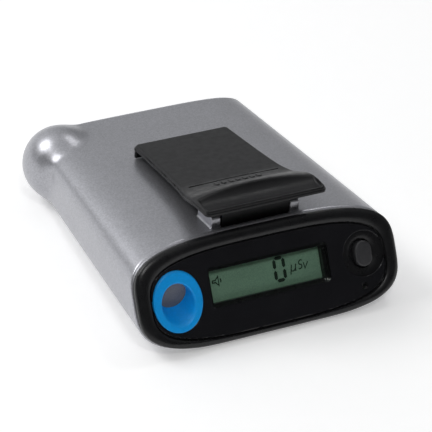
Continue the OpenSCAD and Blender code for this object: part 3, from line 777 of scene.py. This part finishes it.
class Surface:
    """A Principled material whose colour, roughness and relief are built from nodes."""

    def __init__(self, name, colour, roughness, metallic=0.0, **fixed):
        self.material = bpy.data.materials.new(name)
        self.material.use_nodes = True
        self.material.diffuse_color = (*colour, 1)
        self.tree = self.material.node_tree
        self.shader = self.tree.nodes["Principled BSDF"]
        self.colour, self.rough = colour, roughness
        self.shader.inputs["Base Color"].default_value = (*colour, 1)
        self.shader.inputs["Roughness"].default_value = roughness
        self.shader.inputs["Metallic"].default_value = metallic
        for socket, value in fixed.items():
            self.shader.inputs[socket.replace("_", " ")].default_value = value
        self.place = self.node("ShaderNodeTexCoord").outputs["Object"]
        self.tints = []
        self.height = None

    def node(self, kind, **inputs):
        made = self.tree.nodes.new(kind)
        for socket, value in inputs.items():
            self.feed(made.inputs[socket.replace("_", " ")], value)
        return made

    def feed(self, socket, value):
        if isinstance(value, bpy.types.NodeSocket):
            self.tree.links.new(value, socket)
        else:
            socket.default_value = value

    def stretched(self, factors):
        made = self.node("ShaderNodeMapping", Vector=self.place)
        made.inputs["Scale"].default_value = factors
        return made.outputs[0]

    def noise(self, size, detail=2.0, stretch=None):
        """Noise whose features are about size millimetres."""
        place = self.stretched(stretch) if stretch else self.place
        made = self.node("ShaderNodeTexNoise", Vector=place, Scale=1 / (size * MM), Detail=detail)
        return made.outputs["Fac"]

    def cells(self, size, output="Color"):
        made = self.node("ShaderNodeTexVoronoi", Vector=self.place, Scale=1 / (size * MM))
        return made.outputs[output]

    def spread(self, value, low, high, from_low=0.0, from_high=1.0):
        made = self.node("ShaderNodeMapRange", Value=value)
        for socket, number in zip(("From Min", "From Max", "To Min", "To Max"),
                                  (from_low, from_high, low, high)):
            made.inputs[socket].default_value = number
        return made.outputs[0]

    def maths(self, how, a, b):
        made = self.node("ShaderNodeMath")
        made.operation = how
        self.feed(made.inputs[0], a)
        self.feed(made.inputs[1], b)
        return made.outputs[0]

    def shade(self, factor):
        """Multiplies the colour by a factor that varies over the surface."""
        self.tints.append(factor)
        return self

    def grain(self, size, amount, detail=2.0, stretch=None):
        return self.shade(self.spread(self.noise(size, detail, stretch), 1 - amount, 1 + amount, 0.3, 0.7))

    def polish(self, size, amount, stretch=None):
        """Varies the roughness."""
        low, high = self.rough - amount, self.rough + amount
        value = self.spread(self.noise(size, 3.0, stretch), low, high, 0.3, 0.7)
        self.feed(self.shader.inputs["Roughness"], value)
        return self

    def raise_by(self, value, depth, strength=1.0):
        """Adds relief, depth in millimetres."""
        made = self.node("ShaderNodeBump", Height=value, Distance=depth * MM, Strength=strength)
        if self.height is not None:
            self.feed(made.inputs["Normal"], self.height)
        self.height = made.outputs["Normal"]
        self.feed(self.shader.inputs["Normal"], self.height)
        return self

    def relief(self, size, depth, detail=2.0, stretch=None, strength=1.0):
        return self.raise_by(self.noise(size, detail, stretch), depth, strength)

    def worn(self, amount, low=0.53, high=0.62):
        """Lightens the sharp edges."""
        point = self.node("ShaderNodeNewGeometry").outputs["Pointiness"]
        rub = self.maths("MULTIPLY", self.spread(point, 0, amount, low, high), self.noise(3.0))
        return self.shade(self.maths("ADD", rub, 1.0))

    def done(self):
        if self.tints:
            factor = self.tints[0]
            for more in self.tints[1:]:
                factor = self.maths("MULTIPLY", factor, more)
            made = self.node("ShaderNodeVectorMath")
            made.operation = "SCALE"
            made.inputs[0].default_value = self.colour
            self.feed(made.inputs["Scale"], factor)
            self.feed(self.shader.inputs["Base Color"], made.outputs[0])
        return self.material


def silver_paint():
    """Fine metallic flake under a thin lacquer."""
    s = Surface("silver_paint", (0.4, 0.402, 0.43), 0.36, 0.8)
    s.shader.inputs["Coat Weight"].default_value = 0.12
    s.shader.inputs["Coat Roughness"].default_value = 0.3
    split = s.node("ShaderNodeSeparateColor", Color=s.cells(0.24))
    s.shade(s.spread(split.outputs[0], 0.88, 1.12))
    s.grain(0.5, 0.05, 3.0).grain(9.0, 0.02)
    s.polish(0.5, 0.04).relief(0.25, 0.006, 2.0)
    return s.done()


def black_plastic():
    s = Surface("black_plastic", (0.009, 0.009, 0.01), 0.3, Specular_IOR_Level=0.34)
    s.grain(0.6, 0.15).grain(14, 0.12).polish(2.5, 0.05).relief(0.35, 0.004).worn(0.8)
    return s.done()


def black_gloss():
    s = Surface("black_gloss", (0.009, 0.009, 0.011), 0.2)
    s.grain(8, 0.15).polish(6, 0.04).relief(5.0, 0.006)
    return s.done()


def clip_plastic():
    s = Surface("clip_plastic", (0.01, 0.01, 0.011), 0.4, Specular_IOR_Level=0.24)
    s.grain(0.35, 0.14).grain(10, 0.1).polish(1.5, 0.06).relief(0.28, 0.01).worn(1.2)
    return s.done()


def blue_plastic():
    s = Surface("blue_plastic", (0.003, 0.36, 0.92), 0.4, Specular_IOR_Level=0.3)
    s.grain(0.5, 0.05).grain(5, 0.05).polish(1.2, 0.05).relief(0.3, 0.004)
    return s.done()


def clear_plastic():
    """A clear window: what is behind shows, and the surface shines a little."""
    m = bpy.data.materials.new("clear_plastic")
    m.use_nodes = True
    tree = m.node_tree
    tree.nodes.remove(tree.nodes["Principled BSDF"])
    clear = tree.nodes.new("ShaderNodeBsdfTransparent")
    clear.inputs["Color"].default_value = (0.93, 0.96, 0.94, 1)
    shine = tree.nodes.new("ShaderNodeBsdfGlossy")
    shine.inputs["Roughness"].default_value = 0.12
    edge = tree.nodes.new("ShaderNodeFresnel")
    edge.inputs["IOR"].default_value = 1.4
    mix = tree.nodes.new("ShaderNodeMixShader")
    tree.links.new(edge.outputs[0], mix.inputs[0])
    tree.links.new(clear.outputs[0], mix.inputs[1])
    tree.links.new(shine.outputs[0], mix.inputs[2])
    tree.links.new(mix.outputs[0], tree.nodes["Material Output"].inputs["Surface"])
    return m


def lcd():
    s = Surface("lcd", (0.33, 0.52, 0.39), 0.5)
    s.grain(0.3, 0.14, 3.0).grain(5, 0.04).polish(1.0, 0.05)
    return s.done()


def lcd_ink():
    s = Surface("lcd_ink", (0.004, 0.022, 0.012), 0.5)
    s.grain(0.4, 0.2)
    return s.done()


def mesh_grey():
    """Woven acoustic mesh."""
    s = Surface("mesh_grey", (0.16, 0.155, 0.165), 0.6)
    weave = s.cells(0.3, "Distance")
    s.shade(s.spread(weave, 0.75, 1.15, 0.0, 0.6)).raise_by(weave, 0.06, 0.6)
    s.grain(1.5, 0.06)
    return s.done()


def button_plastic():
    s = Surface("button_plastic", (0.035, 0.035, 0.038), 0.42)
    s.grain(0.5, 0.12).polish(1.0, 0.06).relief(0.3, 0.008).worn(0.8)
    return s.done()


def general(name, colour, rough, metallic=0.0, size=0.6, amount=0.08, depth=0.004, stretch=None):
    """A plain moulded, cast or plated finish with grain, patches and fine relief."""
    s = Surface(name, colour, rough, metallic)
    s.grain(size, amount, 3.0, stretch).grain(size * 12, amount * 0.6)
    s.polish(size * 2, min(0.08, rough / 3), stretch).relief(size * 0.6, depth, 2.0, stretch)
    return s.done()


def circuit_board():
    """Solder mask over copper tracks."""
    s = Surface("circuit_board", (0.015, 0.13, 0.05), 0.35)
    track = s.node("ShaderNodeTexVoronoi", Vector=s.place, Scale=1 / (2.4 * MM))
    track.distance = "MANHATTAN"
    track.feature = "F2"
    lines = s.spread(track.outputs["Distance"], 0.6, 1.35, 0.45, 0.6)
    s.shade(lines).grain(0.5, 0.08).polish(2, 0.06).raise_by(lines, 0.03, 0.6)
    return s.done()


def zebra_rubber():
    """Conducting and insulating layers in turn along the strip."""
    s = Surface("zebra_rubber", (0.32, 0.28, 0.3), 0.65)
    wave = s.node("ShaderNodeTexWave", Vector=s.place, Scale=1 / (1.2 * MM))
    s.shade(s.spread(wave.outputs["Fac"], 0.15, 1.1)).grain(0.4, 0.1)
    return s.done()


BRUSH = (1, 12, 1)
FINISHES = {
    "silver_paint": silver_paint,
    "black_plastic": black_plastic,
    "black_gloss": black_gloss,
    "clip_plastic": clip_plastic,
    "blue_plastic": blue_plastic,
    "clear_plastic": clear_plastic,
    "lcd": lcd,
    "mesh_grey": mesh_grey,
    "circuit_board": circuit_board,
    "zebra_rubber": zebra_rubber,
    "rubber": lambda: general("rubber", (0.012, 0.012, 0.012), 0.65, size=0.4),
    "flex_film": lambda: general("flex_film", (0.5, 0.2, 0.03), 0.3, size=1.2, stretch=BRUSH),
    "chip_black": lambda: general("chip_black", (0.018, 0.018, 0.02), 0.55, size=0.25, depth=0.01),
    "steel": lambda: general("steel", (0.56, 0.56, 0.57), 0.32, 1.0, size=0.4, stretch=BRUSH),
    "nickel": lambda: general("nickel", (0.68, 0.66, 0.6), 0.24, 1.0, size=0.7),
    "lead_grey": lambda: general("lead_grey", (0.16, 0.17, 0.19), 0.5, 0.8, size=0.6, depth=0.01),
    "bronze": lambda: general("bronze", (0.62, 0.38, 0.16), 0.3, 1.0, size=0.5, stretch=BRUSH),
    "ferrite": lambda: general("ferrite", (0.07, 0.055, 0.045), 0.6, size=0.5, amount=0.15),
    "capacitor_film": lambda: general("capacitor_film", (0.03, 0.12, 0.34), 0.28, size=1.0),
    "capacitor_can": lambda: general("capacitor_can", (0.6, 0.6, 0.62), 0.3, 1.0, size=0.5, stretch=BRUSH),
    "cell_wrap": lambda: general("cell_wrap", (0.3, 0.2, 0.03), 0.3, 0.4, size=2.0),
    "label_film": lambda: general("label_film", (0.5, 0.5, 0.49), 0.55, size=0.5, depth=0.008),
    "led_red": lambda: general("led_red", (0.3, 0.01, 0.01), 0.25, size=0.8),
}
finish = {name: make() for name, make in FINISHES.items()}
for part in frame["record"]["subparts"]:
    node = frame["nodes"][part["node"]]
    node.data.materials.clear()
    node.data.materials.append(finish[part["material_slot"]])


# ---- Pieces ----


def box_of(node, spare=0.4):
    low, high = corners(node)
    return low - spare, high + spare


def face_box(u0, u1, v0, v1, d0, d1):
    """Box of a region given on the face, for the mesher's leaning grid."""
    z = FACE[2] + np.array([v0, v1]) * COS + np.array([min(d0, 0), max(d1, 0)]) * SIN
    y = FACE[1] + np.array([-d1, -d0]) / COS
    return [u0, y[0], z[0]], [u1, y[1], z[1]]


# Name, field, box on the face, step, node, material slot, share of faces kept.
LEAN_PIECES = (
    ("bezel", bezel_field, (-33.5, 33.5, -12.8, 12.8, -5, 2.3), 0.3, "front_bezel", "black_plastic", 0.5),
    ("panel", panel_field, (-30.5, 30.5, -11.5, 9.8, 1, 1.7), 0.3, "face_panel", "black_gloss", 0.5),
    ("window", window_field, (-16, 15, -5, 6, 0.2, 1.7), 0.25, "lcd_window", "clear_plastic", 0.2),
    ("display", lcd_field, (-16, 15, -5.6, 6.2, -3.1, -1.3), 0.25, "lcd_glass", "lcd", 0.2),
    ("light", light_field, (22.5, 24.7, -8.3, -6.1, -1.8, 1.9), 0.12, "light_pipe", "clear_plastic", 0.6),
)


def make_pieces():
    shaped("case", case_field, [-CASE_W - 0.5, -39.5, -0.5], [CASE_W + 0.5, 44, 27], 0.45,
           "case", finish["silver_paint"], ["case_shell"], "silver_paint", sheared=True, keep=0.4)
    for name, field, region, step, node, slot, keep in LEAN_PIECES:
        low, high = face_box(*region)
        shaped(name, field, low, high, step, "case", finish[slot], [node], slot, sheared=True, keep=keep)
    low, high = face_box(20, 29, -5, 5.5, -2.3, 2.1)
    shaped("button", button_field, low, high, 0.16, "button", button_plastic(), ["push_button"],
           "black_plastic", sheared=True, keep=0.5)
    shaped("horn", horn_field, *box_of("horn_ring", 0.6), 0.22, "case", finish["blue_plastic"],
           ["horn_ring"], "blue_plastic", sheared=True, keep=0.5)
    shaped("horn_disc", horn_mesh_field, *box_of("horn_mesh"), 0.16, "case", finish["mesh_grey"],
           ["horn_mesh"], "mesh_grey", keep=0.4)
    shaped("clip", clip_field, *box_of("belt_clip", 0.6), 0.28, "clip", finish["clip_plastic"],
           ["belt_clip"], "clip_plastic", keep=0.5)
    shaped("hinge_pin", pin_field, *box_of("clip_pin"), 0.16, "case", finish["steel"],
           ["clip_pin"], "steel", keep=0.5)
    shaped("battery_plug", plug_field, *box_of("battery_cap"), 0.24, "plug", finish["silver_paint"],
           ["battery_cap"], "silver_paint", keep=0.5)
    low, high = corners("case_screws")
    x0 = (low[0] + high[0]) / 2
    reach = SCREW_HEAD_R + 0.37
    for number, y0 in enumerate((low[1] + SCREW_EDGE, high[1] - SCREW_EDGE), 1):
        shaped(f"case_screw_{number}", screw_field(x0, y0), [x0 - reach, y0 - reach, -0.1],
               [x0 + reach, y0 + reach, 4.4], 0.15, "case", finish["steel"],
               ["case_screws"], "steel", keep=0.5)
    ink = lcd_ink()
    marks("display_digit", digit_zero(2.95, -1.9, 2.35, 5.15), LCD_D, 0.03, ink)
    marks("display_unit", unit_marks(6.9, -0.5), LCD_D, 0.03, ink)
    marks("display_speaker", speaker_marks(-13.0, 0.8), LCD_D, 0.03, ink)


make_pieces()

# ---- Light, floor and camera ----


def place_camera():
    """A long lens, above and to the left of the face."""
    forward = Vector((0.41553, 0.72504, -0.54923)).normalized()
    roll = math.radians(4.97)
    location = Vector((-0.23993, -0.42545, 0.32863))
    data = bpy.data.cameras.new("camera")
    data.lens = 205.5
    data.sensor_width = 36
    data.clip_start = 0.02
    data.clip_end = 20
    camera = bpy.data.objects.new("camera", data)
    bpy.context.scene.collection.objects.link(camera)
    turn = forward.to_track_quat("-Z", "Y").to_matrix().to_4x4()
    camera.matrix_world = Matrix.Translation(location) @ turn @ Matrix.Rotation(roll, 4, "Z")
    bpy.context.scene.camera = camera


def make_floor():
    mesh = bpy.data.meshes.new("floor")
    half = 4.0
    mesh.from_pydata([(-half, -half, 0), (half, -half, 0), (half, half, 0), (-half, half, 0)], [],
                     [(0, 1, 2, 3)])
    floor = bpy.data.objects.new("floor", mesh)
    bpy.context.scene.collection.objects.link(floor)
    pale = Surface("floor", (0.92, 0.92, 0.92), 0.8, Emission_Color=(1, 1, 1, 1), Emission_Strength=0.28)
    pale.grain(3, 0.01)
    mesh.materials.append(pale.done())


def softbox(name, direction, distance, size, radiance):
    """An area light that looks at the object from a direction."""
    data = bpy.data.lights.new(name, "AREA")
    data.shape = "RECTANGLE"
    data.size, data.size_y = size
    data.energy = radiance * math.pi * size[0] * size[1]
    lamp = bpy.data.objects.new(name, data)
    towards = Vector(direction).normalized()
    lamp.location = towards * distance
    lamp.rotation_mode = "QUATERNION"
    lamp.rotation_quaternion = (-towards).to_track_quat("-Z", "Y")
    bpy.context.scene.collection.objects.link(lamp)


def make_world():
    """A studio: bright near the horizon, dimmer above, darkest in front and at the far left."""
    world = bpy.data.worlds.new("studio")
    world.use_nodes = True
    tree = world.node_tree
    place = tree.nodes.new("ShaderNodeTexCoord")
    split = tree.nodes.new("ShaderNodeSeparateXYZ")
    tree.links.new(place.outputs["Generated"], split.inputs[0])

    def ramp(axis, start, end, low, high):
        made = tree.nodes.new("ShaderNodeMapRange")
        made.interpolation_type = "SMOOTHSTEP"
        tree.links.new(split.outputs[axis], made.inputs["Value"])
        for socket, value in zip(("From Min", "From Max", "To Min", "To Max"), (start, end, low, high)):
            made.inputs[socket].default_value = value
        return made.outputs[0]

    def maths(how, a, b):
        made = tree.nodes.new("ShaderNodeMath")
        made.operation = how
        tree.links.new(a, made.inputs[0])
        tree.links.new(b, made.inputs[1])
        return made.outputs[0]

    backdrop = ramp("Z", 0.0, 0.3, 1.0, 0.0)
    above = maths("ADD", ramp("X", -0.7, -0.35, 0.12, 0.72), ramp("X", -0.1, 0.35, 0.0, -0.24))
    depth = ramp("Y", -0.75, 0.0, 0.1, 1.0)
    right = ramp("X", 0.3, 0.8, 1.0, 0.4)
    glow = maths("MULTIPLY", maths("MULTIPLY", maths("MAXIMUM", backdrop, above), depth), right)
    tree.links.new(glow, tree.nodes["Background"].inputs["Strength"])
    tree.nodes["Background"].inputs["Color"].default_value = (0.98, 0.99, 1, 1)
    bpy.context.scene.world = world


make_world()
make_floor()
softbox("overhead", (-0.56, 0.44, 0.7), 0.85, (0.34, 0.34), 8)
softbox("top", (0.42, 0.3, 0.85), 0.9, (0.2, 0.1), 9)
softbox("front", (-0.16, -0.52, 0.84), 0.9, (0.2, 0.2), 10)
place_camera()
bpy.context.scene.view_settings.view_transform = "Standard"
